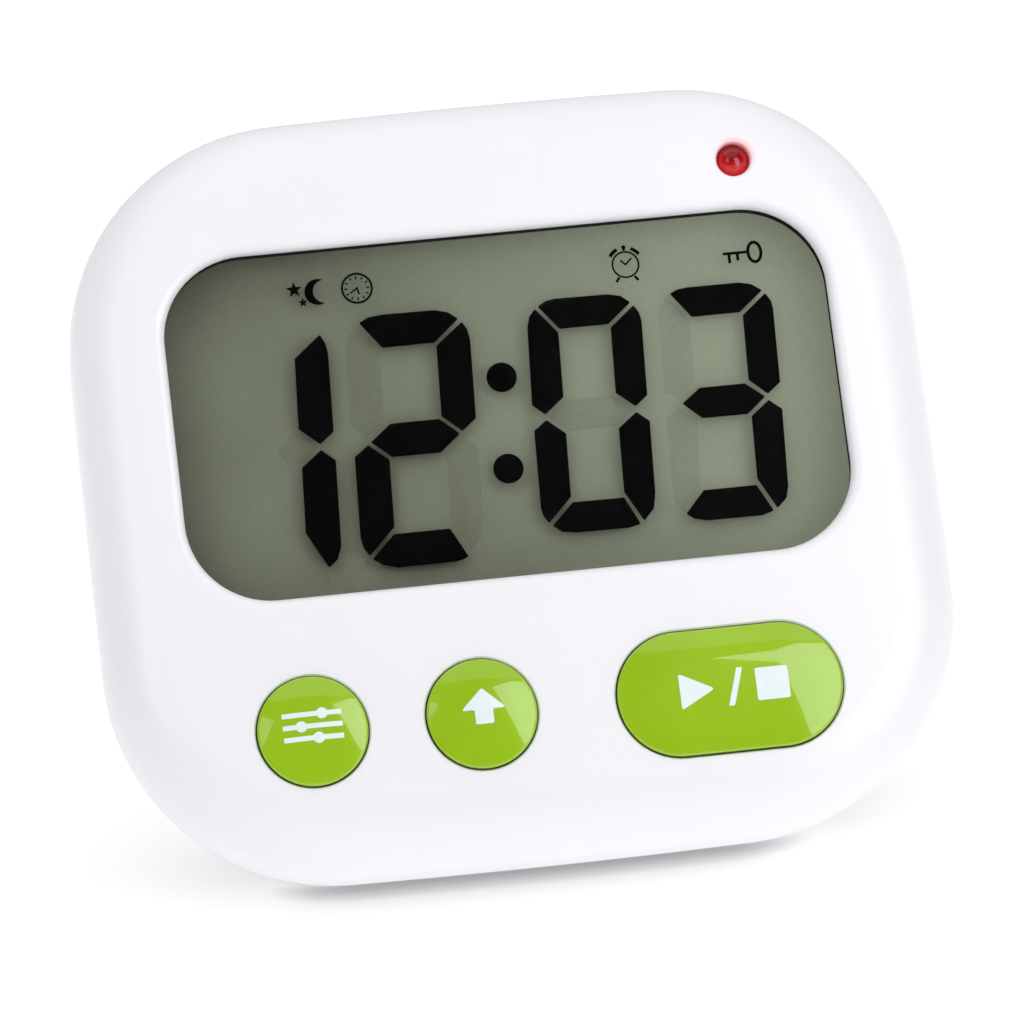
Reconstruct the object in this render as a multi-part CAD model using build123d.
from build123d import *
import math
import operator
import os
from functools import reduce

# Lab timer: a small desk and wall timer with a large segment display, three domed keys,
# an alarm LED, a fold-out stand, magnets, two AAA cells, a buzzer and a vibration motor.
#
# Drawn in the body's own frame (millimetres): x to the right as seen from the front,
# y from the front face (0) to the back (DEPTH), z up from the middle of the height.
# At the end the body is leaned back by LEAN about X, as it rests on its stand, and moved
# so that the floor is Z = 0 and the body's depth is centred on Y = 0.

# ------------------------------------------------------------------ casing dimensions
WIDTH, HEIGHT, DEPTH = 79.7, 72.1, 22.5
TOP_BOW_R = 900.0           # the top and bottom edges are very slightly bowed
SIDE_BOW_R = 2500.0         # and the two sides less
CORNER_R = 21.45
WALL = 1.8
SPLIT_Y = 11.0              # parting plane between the two casings
FRONT_ROLL_R = 6.0          # roll-off round the front face
REAR_EDGE_R = 1.5
DRAFT = 9.0                 # degrees by which the rear casing narrows to the back
GROOVE = 0.3                # chamfer on each casing at the parting plane
SKIN = 0.9                  # inner fittings are trimmed this far below the surface
RIB_WALL = 1.2              # wall round the fittings moulded into the rear casing

# ------------------------------------------------------------------ display and keys
WIN_X, WIN_Z = 0.0, 6.0
WIN_W, WIN_H, WIN_R = 62.25, 32.88, 7.84
WIN_WALL = 1.1              # casing thickness round the window
WIN_EDGE_R = 0.9            # rounding of the window's outer edge

GLASS_HALF_W = 32.5
GLASS_TOP = 23.9
GLASS_BOTTOM = -14.6        # the front glass carries the contact ledge
GLASS_SHORT_BOTTOM = -11.4  # the other layers stop above the ledge
POLARISER_Y, FRONT_GLASS_Y, REAR_GLASS_Y = 2.6, 2.8, 3.9
REFLECTOR_Y, HOLDER_Y = 5.0, 5.25
POCKET_Z = 4.625            # middle of the display pocket

# name: x, z, half the straight run (0 for a round key), radius
KEYS = {
    "key_set": (-21.64, -23.09, 0, 5.09),
    "key_up": (-6.03, -23.09, 0, 5.09),
    "key_start_stop": (17.02, -23.18, 4.69, 5.80),
}
KEY_GAP = 0.15
KEY_SAG = 0.75              # how far a key's dome rises above its rim
KEY_PROUD = 0.30            # height of the rim above the face
KEY_POST_R = 2.0

LED_X, LED_Z, LED_R = 23.80, 27.05, 1.5
LED_PIN_X = (LED_X - 1.27, LED_X + 1.27)

# ------------------------------------------------------------------ board and fixings
PCB_Y0, PCB_Y1 = 7.0, 8.0
UNDER_PCB_Y = 6.95          # rear side of the holder and of the keypad's base
CASE_SCREWS = [(-30.0, 26.5), (30.0, 26.5), (-33.2, -20.5), (33.2, -20.5)]
PCB_SCREWS = [(-35.2, 11.0), (35.2, 11.0), (-35.2, -10.5), (35.2, -10.5)]

# ------------------------------------------------------------------ stand
LEAN = 30.0                 # degrees
HINGE_Y, HINGE_Z = 20.6, -2.0
STAND_TIP_R = 1.3
STAND_LEN = 29.0            # hinge to the centre of the rounded tip
STAND_HALF_W = 15.2
STAND_IN, STAND_OUT = 1.2, 1.4      # flap in front of and behind the hinge axis
STAND_HEEL = 2.3                    # flap above the hinge axis
HINGE_PIN_R = 0.8
RECESS_HALF_W, RECESS_Z0, RECESS_Z1 = STAND_HALF_W + 0.4, -32.65, 0.85
PIN_HALF_LEN = RECESS_HALF_W + 1.0

# ------------------------------------------------------------------ battery
DOOR_HALF_W, DOOR_Z0, DOOR_Z1 = 26.4, 3.4, 28.0
DOOR_Y = 20.6
DOOR_GAP = 0.2
HOOK_X = (-15.0, 15.0)      # the door's two hooks
BAY_HALF_W, BAY_Z0, BAY_Z1, BAY_Y = 25.6, 4.2, 27.2, 9.6
CELL_R, CELL_LEN, CELL_Y = 5.25, 44.5, 15.0
CELL_Z_LOW, CELL_Z_UP = 9.95, 21.45
CELL_TIP_X = 24.4           # distance of each positive tip from the middle
TAB_Z_LOW, TAB_Z_UP = 9.0, 22.4     # solder tabs of the left-hand contacts

# ------------------------------------------------------------------ other fittings
MAGNET_X, MAGNET_Z, MAGNET_R, MAGNET_T = 25.5, -22.5, 4.5, 2.3
MAGNET_SUNK = 0.1           # magnet face below the back
SWITCH_X, SWITCH_Z = 27.5, -6.0
SWITCH_POST_Z = (-7.0, 7.0)         # posts above and below each switch
SWITCH_BOARD_Y0, SWITCH_BOARD_Y1 = 16.4, 17.2
HANG_Z, HANG_R, HANG_SLOT_R, HANG_RISE = 30.4, 1.9, 1.0, 1.35
PIEZO_X, PIEZO_Z, PIEZO_R = 0.0, -13.0, 9.5
PIEZO_T = 0.25              # thickness of the disc and of the ceramic
MOTOR_Y, MOTOR_Z, MOTOR_R = 11.8, -27.5, 3.0
SHAFT_R = 0.4


# ------------------------------------------------------------------ helpers
def front_plane(y, x=0.0, z=0.0):
    """A plane at depth y whose sketch axes are the body's x and z."""
    return Plane(origin=(x, y, z), x_dir=(1, 0, 0), z_dir=(0, -1, 0))


def slab(sketch, y0, y1):
    return extrude(front_plane(y0) * sketch, amount=y1 - y0, dir=(0, 1, 0))


def disc(x, z, radius, y0, y1):
    return slab(Pos(x, z) * Circle(radius), y0, y1)


def frustum(x, z, radius0, y0, radius1, y1):
    start = front_plane(y0, x, z) * Circle(radius0)
    end = front_plane(y1, x, z) * Circle(radius1)
    return loft([start.faces()[0], end.faces()[0]])


def block(x0, x1, y0, y1, z0, z1):
    middle = Pos((x0 + x1) / 2, (y0 + y1) / 2, (z0 + z1) / 2)
    return middle * Box(abs(x1 - x0), abs(y1 - y0), abs(z1 - z0))


def rod_x(x0, x1, y, z, radius):
    return Pos((x0 + x1) / 2, y, z) * Rot(0, 90, 0) * Cylinder(radius, abs(x1 - x0))


def rod_z(z0, z1, x, y, radius):
    return Pos(x, y, (z0 + z1) / 2) * Cylinder(radius, abs(z1 - z0))


def rounded_rect(width, height, radius, x=0.0, z=0.0):
    return Pos(x, z) * RectangleRounded(width, height, radius)


def stadium(half, radius, x=0.0, z=0.0):
    return Pos(x, z) * SlotCenterToCenter(2 * half, 2 * radius)


def fuse(shapes):
    return reduce(operator.add, shapes)


def cross_screw(x, z, shank, head, recess):
    """shank and head: radius, y0, y1; recess: half length, half width, y of its floor."""
    shank_r, shank_y0, shank_y1 = shank
    head_r, head_y0, head_y1 = head
    long, short, floor = recess
    screw = disc(x, z, shank_r, shank_y0, shank_y1) + disc(x, z, head_r, head_y0, head_y1)
    for dx, dz in ((long, short), (short, long)):
        screw -= block(x - dx, x + dx, floor, head_y1 + 0.5, z - dz, z + dz)
    return screw


# ------------------------------------------------------------------ body outline
SIDE_BOW_X = WIDTH / 2 - SIDE_BOW_R     # bow centres of the right side and the top
TOP_BOW_Z = HEIGHT / 2 - TOP_BOW_R


def corner_centre():
    """Centre of the corner arc tangent to the side and top bows, by Newton's method."""
    x, z = WIDTH / 2 - CORNER_R, HEIGHT / 2 - CORNER_R
    for _ in range(60):
        top_dist = math.hypot(x, z - TOP_BOW_Z)
        side_dist = math.hypot(x - SIDE_BOW_X, z)
        top_error = top_dist - (TOP_BOW_R - CORNER_R)
        side_error = side_dist - (SIDE_BOW_R - CORNER_R)
        top_dx, top_dz = x / top_dist, (z - TOP_BOW_Z) / top_dist
        side_dx, side_dz = (x - SIDE_BOW_X) / side_dist, z / side_dist
        det = top_dx * side_dz - top_dz * side_dx
        x -= (side_dz * top_error - top_dz * side_error) / det
        z -= (top_dx * side_error - side_dx * top_error) / det
    return x, z


CORNER_X, CORNER_Z = corner_centre()
# directions in which the corner arc meets the side and the top
SIDE_ANGLE = math.atan2(CORNER_Z, CORNER_X - SIDE_BOW_X)
TOP_ANGLE = math.atan2(CORNER_Z - TOP_BOW_Z, CORNER_X)


def outline(inset=0.0):
    """The body's eight-arc outline, moved inwards by inset."""
    corner, side, top = CORNER_R - inset, SIDE_BOW_R - inset, TOP_BOW_R - inset
    pi = math.pi
    # centre x, centre z, radius, start angle, end angle
    arcs = [
        (SIDE_BOW_X, 0, side, -SIDE_ANGLE, SIDE_ANGLE),
        (CORNER_X, CORNER_Z, corner, SIDE_ANGLE, TOP_ANGLE),
        (0, TOP_BOW_Z, top, TOP_ANGLE, pi - TOP_ANGLE),
        (-CORNER_X, CORNER_Z, corner, pi - TOP_ANGLE, pi - SIDE_ANGLE),
        (-SIDE_BOW_X, 0, side, pi - SIDE_ANGLE, pi + SIDE_ANGLE),
        (-CORNER_X, -CORNER_Z, corner, pi + SIDE_ANGLE, pi + TOP_ANGLE),
        (0, -TOP_BOW_Z, top, pi + TOP_ANGLE, 2 * pi - TOP_ANGLE),
        (CORNER_X, -CORNER_Z, corner, 2 * pi - TOP_ANGLE, 2 * pi - SIDE_ANGLE),
    ]
    edges = []
    for x, z, radius, start, end in arcs:
        points = [
            (x + radius * math.cos(angle), z + radius * math.sin(angle), 0)
            for angle in (start, (start + end) / 2, end)
        ]
        edges.append(ThreePointArc(*points))
    return make_face(edges)


def straight_form(inset, y0, y1, front_r=0.0, groove=0.0):
    """The front casing's form, with an optional front roll-off and rear chamfer."""
    form = slab(outline(inset), y0, y1)
    if front_r:
        form = fillet(form.edges().group_by(Axis.Y)[0], front_r)
    if groove:
        form = chamfer(form.edges().group_by(Axis.Y)[-1], groove)
    return form


def drafted_form(inset, y0, y1, rear_r=0.0, groove=0.0):
    """The rear casing's form: inset is measured at the parting plane, and the form
    narrows by DRAFT towards the back."""
    taper = math.tan(math.radians(DRAFT))
    start, end = [
        front_plane(y) * outline(inset + taper * (y - SPLIT_Y)) for y in (y0, y1)
    ]
    form = loft([start.faces()[0], end.faces()[0]], ruled=True)
    if rear_r:
        form = fillet(form.edges().group_by(Axis.Y)[-1], rear_r)
    if groove:
        form = chamfer(form.edges().group_by(Axis.Y)[0], groove)
    return form


# ------------------------------------------------------------------ lean and floor
SIN, COS = math.sin(math.radians(LEAN)), math.cos(math.radians(LEAN))
# height of the rear edge's rounding centre above the body's middle
REAR_Z = (
    HEIGHT / 2
    - math.tan(math.radians(DRAFT)) * (DEPTH - REAR_EDGE_R - SPLIT_Y)
    - REAR_EDGE_R / math.cos(math.radians(DRAFT))
)
# how far the leaned body and its stand hinge reach below the body's origin
REACH = (DEPTH - REAR_EDGE_R) * SIN + REAR_Z * COS + REAR_EDGE_R
HINGE_REACH = HINGE_Y * SIN - HINGE_Z * COS
STAND_TILT = math.acos((REACH - HINGE_REACH - STAND_TIP_R) / STAND_LEN)
STAND_OPEN = LEAN + math.degrees(STAND_TILT)    # opening angle of the stand at rest
Y_MIN = FRONT_ROLL_R * COS - (HEIGHT / 2 - FRONT_ROLL_R) * SIN - FRONT_ROLL_R
Y_MAX = (DEPTH - REAR_EDGE_R) * COS + REAR_Z * SIN + REAR_EDGE_R
PLACE = Pos(0, -(Y_MIN + Y_MAX) / 2, REACH) * Rot(-LEAN, 0, 0)

OPEN_RAD = math.radians(STAND_OPEN)
HEEL_REACH = STAND_IN * math.cos(OPEN_RAD) + STAND_HEEL * math.sin(OPEN_RAD)
FLOOR_Y = HINGE_Y - HEEL_REACH - 0.06   # recess floor, where the heel stops
BACK_Y = FLOOR_Y - 1.5                  # inner side of the recess floor


# ------------------------------------------------------------------ keys
def key_slab(half, radius, x, z, y0, y1):
    if half == 0:
        return disc(x, z, radius, y0, y1)
    return slab(stadium(half, radius, x, z), y0, y1)


def post_places(x, half):
    """x of the posts under a key."""
    return [x] if half == 0 else [x - half, x + half]


POSTS = [(px, z) for x, z, half, _ in KEYS.values() for px in post_places(x, half)]


def key_dome(half, radius, x, z):
    """Crowned cap whose rim has a small rounding."""
    crown_r = (radius * radius + KEY_SAG * KEY_SAG) / (2 * KEY_SAG)
    crown_y = -KEY_PROUD - KEY_SAG + crown_r
    if half == 0:
        cap = disc(x, z, radius, -3, 2.0) & (Pos(x, crown_y, z) * Sphere(crown_r))
    else:
        cap = block(x - half, x + half, -3, 2.0, z - radius, z + radius) & (
            Pos(x, crown_y, z) * Rot(0, 90, 0) * Cylinder(crown_r, 2 * half + 2)
        )
        for side in (-1, 1):
            end_x = x + side * half
            end = disc(end_x, z, radius, -3, 2.0) & (
                Pos(end_x, crown_y, z) * Sphere(crown_r)
            )
            outer_x = x + side * (half + radius + 1)
            end &= block(end_x, outer_x, -4, 3, z - radius - 1, z + radius + 1)
            cap += end
    rim_edges = [
        e
        for e in cap.edges()
        if abs(e.center().Y + KEY_PROUD) < 0.06
        and abs(e.bounding_box().min.Y - e.bounding_box().max.Y) < 0.05
    ]
    return fillet(rim_edges, 0.28)


def key(x, z, half, radius):
    flange_y0, flange_y1 = 1.9, 2.9
    posts = post_places(x, half)
    body = key_dome(half, radius, x, z)
    body += key_slab(half, radius + 1.1, x, z, flange_y0, flange_y1)
    for px in posts:
        body += disc(px, z, KEY_POST_R, flange_y1, 3.3)
    # the hollow underside keeps the moulding's wall even
    hollow = key_slab(half, radius - 1.2, x, z, 1.2, flange_y1)
    for px in posts:
        hollow -= disc(px, z, KEY_POST_R, 1.0, 3.5)
    return body - hollow


def rubber_keypad():
    """Silicone mat: a base sheet with one hollow dome under each post."""
    base_y = 5.95
    pad = slab(rounded_rect(56.4, 13.6, 2.0, 0.2, -23.3), base_y, UNDER_PCB_Y)
    for x, z in POSTS:
        pad += frustum(x, z, 4.2, base_y, 2.9, 4.5)
        pad += disc(x, z, 2.4, 3.36, 4.6)
    for x, z in POSTS:
        pad -= disc(x, z, 3.2, 5.9, 7.0)
        pad -= frustum(x, z, 3.2, base_y, 2.4, 5.0)
    return pad


# ------------------------------------------------------------------ front casing
def pocket_slab(extra_width, height, radius, y0, y1):
    sketch = rounded_rect(2 * GLASS_HALF_W + extra_width, height, radius, WIN_X, POCKET_Z)
    return slab(sketch, y0, y1)


def face_edges(shape):
    """Edges in the plane of the front face, within fixed limits of x and z."""
    return [
        e
        for e in shape.edges().filter_by_position(Axis.Y, -0.01, 0.01)
        if abs(e.center().X) < 33 and abs(e.center().Z) < 31
    ]


def front_shell():
    front = straight_form(0, 0, SPLIT_Y, front_r=FRONT_ROLL_R, groove=GROOVE)
    front -= straight_form(WALL, WALL, SPLIT_Y + 1, front_r=FRONT_ROLL_R - WALL)
    # locating wall round the display, and the thin window pocket
    rim = pocket_slab(2.1, 40.65, 1.0, WALL - 0.05, 4.9)
    front += rim & straight_form(SKIN, 0.5, SPLIT_Y)
    front -= pocket_slab(0.5, 39.05, 0.6, WIN_WALL, 5.5)
    # bosses for the circuit board and for the case screws
    for x, z in PCB_SCREWS:
        front += disc(x, z, 1.9, 1.5, PCB_Y0)
    for x, z in CASE_SCREWS:
        front += disc(x, z, 2.4, 1.5, 11.5) & straight_form(SKIN, 0.5, 12.0)
    # clears what the bosses put into the pocket
    front -= pocket_slab(0.3, 38.75, 0.6, WIN_WALL, 5.5)
    # window and key holes, then their edges on the face
    front -= slab(rounded_rect(WIN_W, WIN_H, WIN_R, WIN_X, WIN_Z), -1, 3)
    for x, z, half, radius in KEYS.values():
        front -= key_slab(half, radius + KEY_GAP, x, z, -1, 3)
    below_window = WIN_Z - WIN_H / 2 - 2
    front = fillet([e for e in face_edges(front) if e.center().Z > below_window], WIN_EDGE_R)
    front = chamfer([e for e in face_edges(front) if e.center().Z <= below_window], 0.15)
    # LED hole with a shallow countersink, widened inside the casing
    hole_r = LED_R + 0.07
    front -= disc(LED_X, LED_Z, hole_r, -1, 6)
    front -= frustum(LED_X, LED_Z, LED_R + 0.2, 0, hole_r, 0.3)
    front -= disc(LED_X, LED_Z, 2.1, WALL, 6)
    # pilot holes
    for x, z in PCB_SCREWS:
        front -= disc(x, z, 0.7, 3.0, PCB_Y0 + 0.1)
    for x, z in CASE_SCREWS:
        front -= disc(x, z, 1.0, 5.5, 11.6)
    return front


# ------------------------------------------------------------------ LED and display
def alarm_led():
    lens_y, base_y = 1.1, 4.9
    led = disc(LED_X, LED_Z, LED_R, lens_y, base_y)
    led += Pos(LED_X, lens_y, LED_Z) * Sphere(LED_R)
    led += disc(LED_X, LED_Z, 1.85, 4.2, base_y)
    for x in LED_PIN_X:
        led += disc(x, LED_Z, 0.25, 4.7, 8.4)
    return led


def display_gasket():
    outer = rounded_rect(2 * GLASS_HALF_W - 0.2, 36.3, 1.0, WIN_X, 5.75)
    opening = rounded_rect(WIN_W + 0.2, WIN_H + 0.2, WIN_R + 0.1, WIN_X, WIN_Z)
    return slab(outer, WIN_WALL, POLARISER_Y) - slab(opening, 0, 4)


def display_layer(bottom, y0, y1, corner_r=0.3):
    middle_z = (GLASS_TOP + bottom) / 2
    sketch = rounded_rect(2 * GLASS_HALF_W, GLASS_TOP - bottom, corner_r, WIN_X, middle_z)
    return slab(sketch, y0, y1)


def lcd_holder():
    """Backing frame with a slotted bar round the zebra strip."""
    holder = display_layer(GLASS_BOTTOM, HOLDER_Y, UNDER_PCB_Y, corner_r=0.6)
    holder -= slab(rounded_rect(52, 28, 2.0, WIN_X, 7.0), 5, 8)
    holder += block(
        WIN_X - GLASS_HALF_W, WIN_X + GLASS_HALF_W,
        REAR_GLASS_Y + 0.05, UNDER_PCB_Y,
        GLASS_BOTTOM, GLASS_SHORT_BOTTOM - 0.15,
    )
    holder -= block(WIN_X - 26.05, WIN_X + 26.05, 3, 8, -14.05, -12.15)
    return holder


def zebra_strip():
    return block(WIN_X - 26, WIN_X + 26, REAR_GLASS_Y, PCB_Y0, -14.0, -12.2)


# ------------------------------------------------------------------ circuit board
def main_pcb():
    pcb = slab(rounded_rect(74.0, 29.5, 1.5, 0, 0.25), PCB_Y0, PCB_Y1)
    pcb += slab(rounded_rect(56.8, 61.5, 2.0, 0, -0.25), PCB_Y0, PCB_Y1)
    # notches in the two upper corners
    for side in (-1, 1):
        pcb -= block(side * 27.2, side * 29.5, 6, 9, 23.8, 31)
    for x, z in PCB_SCREWS:
        pcb -= disc(x, z, 0.8, 6, 9)
    for x in LED_PIN_X:
        pcb -= disc(x, LED_Z, 0.3, 6, 9)
    return pcb


def pcb_screws():
    return fuse(
        cross_screw(
            x, z, shank=(0.7, 3.2, 8.05), head=(1.4, PCB_Y1, 9.0), recess=(1.0, 0.2, 8.6)
        )
        for x, z in PCB_SCREWS
    )


def controller_blob():
    """Epoxy cap over the chip-on-board controller."""
    x, z, radius, rise = -12, -6.5, 5.5, 1.6
    crown_r = (radius ** 2 + rise ** 2) / (2 * rise)
    crown = Pos(x, PCB_Y1 + rise - crown_r, z) * Sphere(crown_r)
    return crown & disc(x, z, radius, PCB_Y1, 10)


def quartz_crystal():
    return rod_z(-9.0, -3.0, -2.5, PCB_Y1 + 1.05, 1.0)


def filter_capacitor():
    can = disc(14.0, -20.5, 2.5, PCB_Y1, PCB_Y1 + 5.4)
    return fillet(can.edges().group_by(Axis.Y)[-1], 0.4)


# width (x), height (z), thickness (y) of each size of chip part
SMD_SIZES = ((1.6, 0.8, 0.5), (2.0, 1.25, 0.6), (2.9, 1.6, 1.1))
# x, z, index of the size
SMD_PLACES = [
    (3.0, -1.5, 1), (6.0, -1.5, 1), (9.0, -1.5, 0), (12.0, -1.5, 1), (3.0, -6.0, 0),
    (7.0, -6.0, 2), (-20.5, -2.0, 1), (-20.5, -5.0, 1), (-20.5, -8.0, 0), (-20.5, -11.0, 1),
    (17.0, -3.0, 2), (19.0, -9.0, 1), (19.0, -12.0, 0), (-5.0, -15.0, 1), (-9.0, -15.0, 0),
]


def smd_parts():
    parts = []
    for x, z, size in SMD_PLACES:
        width, height, thick = SMD_SIZES[size]
        parts.append(block(
            x - width / 2, x + width / 2, PCB_Y1, PCB_Y1 + thick,
            z - height / 2, z + height / 2,
        ))
    return fuse(parts)


# ------------------------------------------------------------------ rear casing
def add_rear_fittings(rear):
    inner_y = DEPTH - 1.0       # fittings run into the back wall as far as this
    # tongue that locates the front casing, cleared round the screw bosses
    tongue = slab(outline(1.87), 10.0, 13.0) - slab(outline(2.9), 9.5, 13.5)
    for x, z in CASE_SCREWS:
        tongue -= disc(x, z, 2.75, 9.5, 11.55)
    rear += tongue
    inside = drafted_form(SKIN, SPLIT_Y - 2, DEPTH - SKIN)
    # battery box
    rear += block(
        -BAY_HALF_W - RIB_WALL, BAY_HALF_W + RIB_WALL, BAY_Y - 1.0, inner_y,
        BAY_Z0 - RIB_WALL, BAY_Z1 + RIB_WALL,
    )
    # stand recess
    rear += block(
        -RECESS_HALF_W - RIB_WALL, RECESS_HALF_W + RIB_WALL, BACK_Y, inner_y,
        RECESS_Z0 - 0.4, RECESS_Z1 + RIB_WALL,
    ) & inside
    # screw towers, magnet cups, switch posts with their pegs
    for x, z in CASE_SCREWS:
        rear += disc(x, z, 3.1, 11.6, inner_y) & inside
    for side in (-1, 1):
        rear += disc(side * MAGNET_X, MAGNET_Z, MAGNET_R + RIB_WALL, 18.8, inner_y) & inside
        for dz in SWITCH_POST_Z:
            x, z = side * SWITCH_X, SWITCH_Z + dz
            rear += disc(x, z, 1.4, SWITCH_BOARD_Y1, inner_y)
            rear += disc(x, z, 0.7, 15.9, SWITCH_BOARD_Y1 + 0.1)
    # thickening round the thumb notch
    rear += block(RECESS_HALF_W + 1.0, RECESS_HALF_W + 4.4, 18.0, inner_y, -30.5, -21.5)
    # ring with a seat for the buzzer
    rear += disc(PIEZO_X, PIEZO_Z, PIEZO_R + 1.3, BACK_Y - 1.7, BACK_Y + 0.1) - disc(
        PIEZO_X, PIEZO_Z, PIEZO_R - 0.9, BACK_Y - 2, BACK_Y
    )
    rear -= disc(PIEZO_X, PIEZO_Z, PIEZO_R + 0.1, BACK_Y - 2, BACK_Y - 1.0)
    # ribs below and above the motor sleeve, and the bed behind it
    for z0, z1 in ((MOTOR_Z - 4.9, MOTOR_Z - 3.9), (MOTOR_Z + 3.9, MOTOR_Z + 4.9)):
        rib = block(-14.0, -5.0, 12.6, BACK_Y + 0.1, z0, z1)
        rear += rib & drafted_form(1.5, 10, DEPTH - 1)
    rear += block(-14.0, -5.0, 15.5, BACK_Y + 0.1, MOTOR_Z - 4.5, MOTOR_Z + 4.5)
    return rear


def cut_rear_openings(rear):
    outside = DEPTH + 1         # cuts through the back end here
    # battery box and door opening
    rear -= block(-BAY_HALF_W, BAY_HALF_W, BAY_Y, outside, BAY_Z0, BAY_Z1)
    opening = rounded_rect(
        2 * (DOOR_HALF_W + DOOR_GAP), DOOR_Z1 - DOOR_Z0 + 2 * DOOR_GAP, 1.4,
        0, (DOOR_Z0 + DOOR_Z1) / 2,
    )
    rear -= slab(opening, DOOR_Y, outside)
    # cradle rib between the two cells
    rear += block(-14, 14, BAY_Y - 0.1, BAY_Y + 2.2, 15.3, 16.1)
    # stand recess, with hinge pin seats in its side walls
    rear -= block(-RECESS_HALF_W, RECESS_HALF_W, FLOOR_Y, outside, RECESS_Z0, RECESS_Z1)
    rear -= rod_x(-PIN_HALF_LEN, PIN_HALF_LEN, HINGE_Y, HINGE_Z, HINGE_PIN_R)
    # thumb notch beside the stand
    rear -= Pos(RECESS_HALF_W + 0.2, 24.0, -26.0) * Sphere(4.4)
    # counterbored screw holes
    for x, z in CASE_SCREWS:
        rear -= disc(x, z, 2.1, 14.6, outside)
        rear -= disc(x, z, 1.25, 11, 15)
    # magnet pockets
    for side in (-1, 1):
        rear -= disc(
            side * MAGNET_X, MAGNET_Z, MAGNET_R + 0.05,
            DEPTH - MAGNET_T - MAGNET_SUNK, outside,
        )
    # switch slots with a shallow finger recess
    for side in (-1, 1):
        x = side * SWITCH_X
        rear -= slab(rounded_rect(2.6, 7.2, 0.5, x, SWITCH_Z), 17, outside)
        rear -= slab(rounded_rect(5.6, 10.6, 2.7, x, SWITCH_Z), DEPTH - 0.6, outside)
    # keyhole for hanging
    slot_top = HANG_Z + HANG_RISE
    rear -= disc(0, HANG_Z, HANG_R, DEPTH - 3, outside)
    rear -= block(-HANG_SLOT_R, HANG_SLOT_R, DEPTH - 3, outside, HANG_Z, slot_top)
    rear -= disc(0, slot_top, HANG_SLOT_R, DEPTH - 3, outside)
    # sound slots in the recess floor, from the lowest up
    for i, half in enumerate((3.2, 4.6, 5.2, 4.6, 3.2)):
        slot = stadium(half, 0.55, PIEZO_X, PIEZO_Z + (i - 2) * 2.6)
        rear -= slab(slot, BACK_Y - 1, FLOOR_Y + 1)
    # pockets for the door's hooks and its latch
    for x in HOOK_X:
        rear -= block(x - 2.3, x + 2.3, 18.5, DEPTH - WALL, 2.0, 5.2)
    rear -= block(-4.4, 4.4, 18.6, DOOR_Y + 0.01, 26.0, DOOR_Z1 + DOOR_GAP)
    # slots for the contacts' solder tabs
    for z in (TAB_Z_LOW, TAB_Z_UP):
        rear -= block(-BAY_HALF_W - 1.5, -BAY_HALF_W + 0.1, 13.4, 15.6, z - 1.1, z + 1.1)
    return rear


def rear_shell():
    rear = drafted_form(0, SPLIT_Y, DEPTH, rear_r=REAR_EDGE_R, groove=GROOVE)
    rear -= drafted_form(2.0, SPLIT_Y - 1, DEPTH - WALL, rear_r=1.2)
    return cut_rear_openings(add_rear_fittings(rear))


def battery_door():
    sketch = rounded_rect(
        2 * DOOR_HALF_W, DOOR_Z1 - DOOR_Z0, 2.0, 0, (DOOR_Z0 + DOOR_Z1) / 2
    )
    door = slab(sketch, DOOR_Y, DEPTH)
    low_edge = [
        e
        for e in door.edges().filter_by(Axis.X)
        if abs(e.center().Z - DOOR_Z0) < 0.01 and abs(e.center().Y - DEPTH) < 0.01
    ]
    door = fillet(low_edge, 0.6)
    # relief so that the lower edge clears the ledge as the door swings
    relief = make_face(Polyline(
        (0, DOOR_Y - 0.1, DOOR_Z0 - 0.1),
        (0, DOOR_Y + 0.6, DOOR_Z0 - 0.1),
        (0, DOOR_Y - 0.1, DOOR_Z0 + 0.75),
        close=True,
    ))
    door -= Pos(-30, 0, 0) * extrude(relief, amount=60, dir=(1, 0, 0))
    # hooks, then the latch and its nib
    for x in HOOK_X:
        door += block(x - 2.0, x + 2.0, 19.4, DOOR_Y + 0.05, 2.2, 6.0)
    door += block(-4.0, 4.0, 19.3, DOOR_Y + 0.05, 26.4, DOOR_Z1)
    door += block(-3.0, 3.0, 19.8, DOOR_Y, DOOR_Z1 - 0.1, DOOR_Z1 + 0.1)
    # grip grooves near the latch, shorter towards the bottom
    for i in range(4):
        half, z = 6 - i * 0.9, 25.4 - i * 1.3
        door -= block(-half, half, DEPTH - 0.4, DEPTH + 1, z, z + 0.6)
    return door


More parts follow.
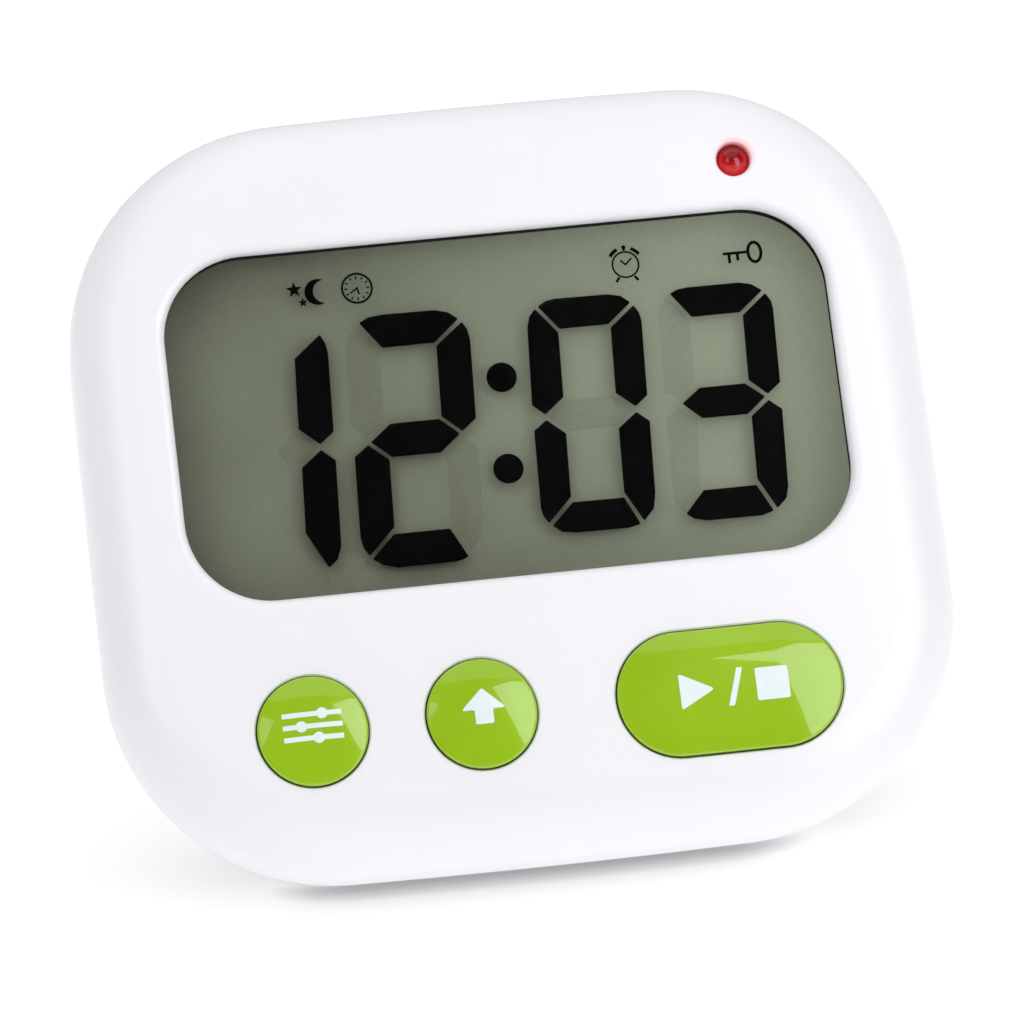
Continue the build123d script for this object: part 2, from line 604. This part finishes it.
# ------------------------------------------------------------------ stand
def kickstand():
    """Drawn folded into its recess, then swung open about the hinge."""
    y0, y1 = HINGE_Y - STAND_IN, HINGE_Y + STAND_OUT
    tip_z = HINGE_Z - STAND_LEN
    flap = block(-STAND_HALF_W, STAND_HALF_W, y0, y1, tip_z, HINGE_Z + STAND_HEEL)
    flap += rod_x(-STAND_HALF_W, STAND_HALF_W, HINGE_Y + 0.1, tip_z, STAND_TIP_R)
    upper_corners = [
        e for e in flap.edges().filter_by(Axis.Y) if e.center().Z > HINGE_Z + 1.0
    ]
    flap = fillet(upper_corners, 0.8)
    # rounded lower corners
    trim = rounded_rect(2 * STAND_HALF_W, 60, 3.5, 0, tip_z - STAND_TIP_R + 30)
    flap &= slab(trim, y0 - 1, y1 + 1)
    # hinge barrel
    flap += rod_x(-STAND_HALF_W + 0.3, STAND_HALF_W - 0.3, HINGE_Y, HINGE_Z, 1.7)
    # panel sunk into the outer side, and grip grooves at the foot
    panel = rounded_rect(2 * STAND_HALF_W - 6, 17.0, 1.5, 0, -15.6)
    flap -= slab(panel, y1 - 0.7, y1 + 1)
    for i in range(4):
        z = -30.2 + i * 1.2
        flap -= block(-7, 7, y1 - 0.45, y1 + 1, z, z + 0.6)
    flap -= rod_x(-STAND_HALF_W - 1, STAND_HALF_W + 1, HINGE_Y, HINGE_Z, HINGE_PIN_R + 0.05)
    swing = Pos(0, HINGE_Y, HINGE_Z) * Rot(STAND_OPEN, 0, 0) * Pos(0, -HINGE_Y, -HINGE_Z)
    return swing * flap


def kickstand_hinge_pin():
    return rod_x(-PIN_HALF_LEN, PIN_HALF_LEN, HINGE_Y, HINGE_Z, HINGE_PIN_R)


# ------------------------------------------------------------------ magnets, screws
def rear_magnets():
    magnets = []
    outer_y = DEPTH - MAGNET_SUNK
    for side in (-1, 1):
        magnet = disc(side * MAGNET_X, MAGNET_Z, MAGNET_R, outer_y - MAGNET_T, outer_y)
        magnets.append(chamfer(magnet.edges().group_by(Axis.Y)[-1], 0.25))
    return fuse(magnets)


def case_screws():
    return fuse(
        cross_screw(
            x, z, shank=(1.0, 6.6, 14.65), head=(1.9, 14.6, 15.9), recess=(1.2, 0.28, 15.2)
        )
        for x, z in CASE_SCREWS
    )


# ------------------------------------------------------------------ slide switches
def switch_block(x, half_x, y0, y1, half_z, z=SWITCH_Z):
    return block(x - half_x, x + half_x, y0, y1, z - half_z, z + half_z)


def switch_boards():
    boards = []
    for x in (-SWITCH_X, SWITCH_X):
        board = switch_block(x, 4, SWITCH_BOARD_Y0, SWITCH_BOARD_Y1, 8.4)
        for dz in SWITCH_POST_Z:
            board -= disc(x, SWITCH_Z + dz, 0.72, 16, 18)
        boards.append(board)
    return fuse(boards)


def switch_can(x):
    can = switch_block(x, 2.6, SWITCH_BOARD_Y1, 20.6, 5.4)
    can -= switch_block(x, 2.2, 17.6, 20.2, 5.0)
    can -= switch_block(x, 1.05, 20.0, 21.0, 3.35)
    return can


def switch_lever(x):
    lever = switch_block(x, 2.05, 17.8, 20.0, 2.8)
    lever += switch_block(x, 0.95, 19.9, 22.0, 1.1)
    # grooved finger cap
    cap = slab(rounded_rect(2.2, 2.8, 0.4, x, SWITCH_Z), 21.1, 22.3)
    for dz in (-0.8, 0.0, 0.8):
        cap -= switch_block(x, 2, 22.05, 23, 0.17, z=SWITCH_Z + dz)
    return lever + cap


# ------------------------------------------------------------------ buzzer and motor
PIEZO_SEAT_Y = BACK_Y - 1.0
CERAMIC_Y = PIEZO_SEAT_Y - PIEZO_T


def piezo_disc():
    return disc(PIEZO_X, PIEZO_Z, PIEZO_R, CERAMIC_Y, PIEZO_SEAT_Y)


def piezo_ceramic():
    return disc(PIEZO_X, PIEZO_Z, PIEZO_R - 2.6, CERAMIC_Y - PIEZO_T, CERAMIC_Y)


def motor_rod(x0, x1, radius):
    return rod_x(x0, x1, MOTOR_Y, MOTOR_Z, radius)


def vibration_motor_can():
    can = motor_rod(-15.0, -3.0, MOTOR_R)
    can = fillet(can.edges().group_by(Axis.X)[0], 0.5)
    can += motor_rod(-3.1, -2.4, 1.2)
    can -= motor_rod(-10.0, -2.0, SHAFT_R + 0.05)
    return can


def eccentric_weight():
    lower_half = block(-2, 3.2, 0, 20, MOTOR_Z - 4, MOTOR_Z - 0.2)
    weight = motor_rod(-1.6, 2.8, 3.2) & lower_half
    weight += motor_rod(-1.6, 2.8, 1.1)
    weight -= motor_rod(-3, 4, SHAFT_R)
    return weight


def motor_sleeve():
    sleeve = block(-13.5, -5.5, 8.3, 15.4, MOTOR_Z - 3.8, MOTOR_Z + 3.8)
    sleeve = fillet(sleeve.edges().filter_by(Axis.X), 0.8)
    return sleeve - motor_rod(-20, 0, MOTOR_R)


# ------------------------------------------------------------------ cells and contacts
def cell(side, z):
    """AAA cell whose positive nub points to the given side of x."""
    tip = side * CELL_TIP_X
    body = rod_x(tip - side * 0.9, tip - side * CELL_LEN, CELL_Y, z, CELL_R)
    body = fillet(body.edges().filter_by(GeomType.CIRCLE), 0.35)
    return body + rod_x(tip, tip - side * 1.2, CELL_Y, z, 1.9)


def contact_plate(side, z0, z1):
    outer_x = side * BAY_HALF_W
    return block(outer_x, outer_x - side * 0.4, CELL_Y - 4.2, CELL_Y + 4.2, z0, z1)


def solder_tab(z):
    return block(-27.2, -25.3, 14.0, 15.0, z - 0.6, z + 0.6)


def contact_dimple(side, z):
    dimple = rod_x(side * 24.42, side * 25.4, CELL_Y, z, 1.8)
    inner_end = -1 if side < 0 else 0
    return fillet(dimple.edges().group_by(Axis.X)[inner_end], 0.45)


def contact_spring(side, z):
    """Conical spring from the plate towards the middle."""
    wire_r, reach = 0.3, 5.25
    coil = Helix(
        pitch=1.15, height=reach - 0.35, radius=3.3, center=(0, 0, 0),
        direction=(0, 0, 1), cone_angle=-12,
    )
    spring = sweep(Plane(coil @ 0, z_dir=coil % 0) * Circle(wire_r), path=coil)
    return Pos(side * 25.35, CELL_Y, z) * Rot(0, -90 * side, 0) * spring


def battery_negative_contact():
    return contact_plate(-1, 5.4, 14.2) + solder_tab(TAB_Z_LOW) + contact_spring(-1, CELL_Z_LOW)


def battery_positive_contact():
    return contact_plate(-1, 17.2, 26.0) + solder_tab(TAB_Z_UP) + contact_dimple(-1, CELL_Z_UP)


def battery_bridge_contact():
    plate = contact_plate(1, 5.4, 26.0)
    return plate + contact_dimple(1, CELL_Z_LOW) + contact_spring(1, CELL_Z_UP)


# ------------------------------------------------------------------ leads
LEAD_R = 0.35
BATTERY_LEAD_R = 0.45
LEAD_END_Y = PCB_Y1 + 0.05
TO_LEFT = (-1, 0, 0)
TO_BOARD = (0, -1, 0)       # every lead ends in this direction


def leads(radius, start_dir, routes):
    """Each route is start, middle and end point of one lead."""
    wires = []
    for points in routes:
        path = Spline(*points, tangents=[start_dir, TO_BOARD])
        wires.append(sweep(Plane(path @ 0, z_dir=path % 0) * Circle(radius), path=path))
    return fuse(wires)


BATTERY_ROUTES = [
    [(-27.25, 14.5, TAB_Z_UP), (-30.0, 13.0, 20.0), (-31.0, LEAD_END_Y, 13.5)],
    [(-27.25, 14.5, TAB_Z_LOW), (-30.0, 12.5, 7.0), (-31.0, LEAD_END_Y, 3.5)],
]
MOTOR_ROUTES = [
    [(-15.05, 11.2, -26.6), (-18.0, 10.6, -25.6), (-20.4, LEAD_END_Y, -23.6)],
    [(-15.05, 11.2, -28.4), (-19.0, 10.8, -28.2), (-22.4, LEAD_END_Y, -26.6)],
]
# one lead from the ceramic, one from the disc
BUZZER_ROUTES = [
    [(3.0, BACK_Y - 1.55, -14.0), (7.0, 11.5, -13.2), (9.0, LEAD_END_Y, -12.0)],
    [(7.9, BACK_Y - 1.3, -11.0), (10.0, 11.5, -9.8), (12.4, LEAD_END_Y, -8.0)],
]
# three leads from each switch board
SWITCH_ROUTES = [
    [(side * 26.0, 16.35, z), (side * 25.0, 12.5, z - 1.0), (side * 24.0, LEAD_END_Y, z - 2.0)]
    for side in (-1, 1)
    for z in (SWITCH_Z - 2.5, SWITCH_Z, SWITCH_Z + 2.5)
]

# ------------------------------------------------------------------ place and write
PIECES = {
    "front_shell": front_shell(),
    **{name: key(*place) for name, place in KEYS.items()},
    "rubber_keypad": rubber_keypad(),
    "alarm_led": alarm_led(),
    "display_gasket": display_gasket(),
    "lcd_front_polariser": display_layer(GLASS_SHORT_BOTTOM, POLARISER_Y, FRONT_GLASS_Y),
    "lcd_front_glass": display_layer(GLASS_BOTTOM, FRONT_GLASS_Y, REAR_GLASS_Y),
    "lcd_rear_glass": display_layer(GLASS_SHORT_BOTTOM, REAR_GLASS_Y, REFLECTOR_Y),
    "lcd_reflector": display_layer(GLASS_SHORT_BOTTOM, REFLECTOR_Y, HOLDER_Y),
    "lcd_holder": lcd_holder(),
    "zebra_strip": zebra_strip(),
    "main_pcb": main_pcb(),
    "pcb_screws": pcb_screws(),
    "controller_blob": controller_blob(),
    "quartz_crystal": quartz_crystal(),
    "filter_capacitor": filter_capacitor(),
    "smd_parts": smd_parts(),
    "rear_shell": rear_shell(),
    "battery_door": battery_door(),
    "kickstand": kickstand(),
    "kickstand_hinge_pin": kickstand_hinge_pin(),
    "rear_magnets": rear_magnets(),
    "case_screws": case_screws(),
    "power_switch_can": switch_can(-SWITCH_X),
    "power_switch_lever": switch_lever(-SWITCH_X),
    "sound_switch_can": switch_can(SWITCH_X),
    "sound_switch_lever": switch_lever(SWITCH_X),
    "switch_boards": switch_boards(),
    "piezo_disc": piezo_disc(),
    "piezo_ceramic": piezo_ceramic(),
    "vibration_motor_can": vibration_motor_can(),
    "motor_shaft": motor_rod(-9.8, 3.2, SHAFT_R),
    "eccentric_weight": eccentric_weight(),
    "motor_sleeve": motor_sleeve(),
    "battery_lower": cell(1, CELL_Z_LOW),
    "battery_upper": cell(-1, CELL_Z_UP),
    "battery_negative_contact": battery_negative_contact(),
    "battery_positive_contact": battery_positive_contact(),
    "battery_bridge_contact": battery_bridge_contact(),
    "battery_leads": leads(BATTERY_LEAD_R, TO_LEFT, BATTERY_ROUTES),
    "motor_leads": leads(LEAD_R, TO_LEFT, MOTOR_ROUTES),
    "buzzer_leads": leads(LEAD_R, TO_BOARD, BUZZER_ROUTES),
    "switch_leads": leads(LEAD_R, TO_BOARD, SWITCH_ROUTES),
}

os.makedirs("parts", exist_ok=True)
for name, shape in PIECES.items():
    solids = list((PLACE * shape).solids())
    piece = solids[0] if len(solids) == 1 else Compound(children=solids)
    piece.label = name
    export_step(piece, f"parts/{name}.step")
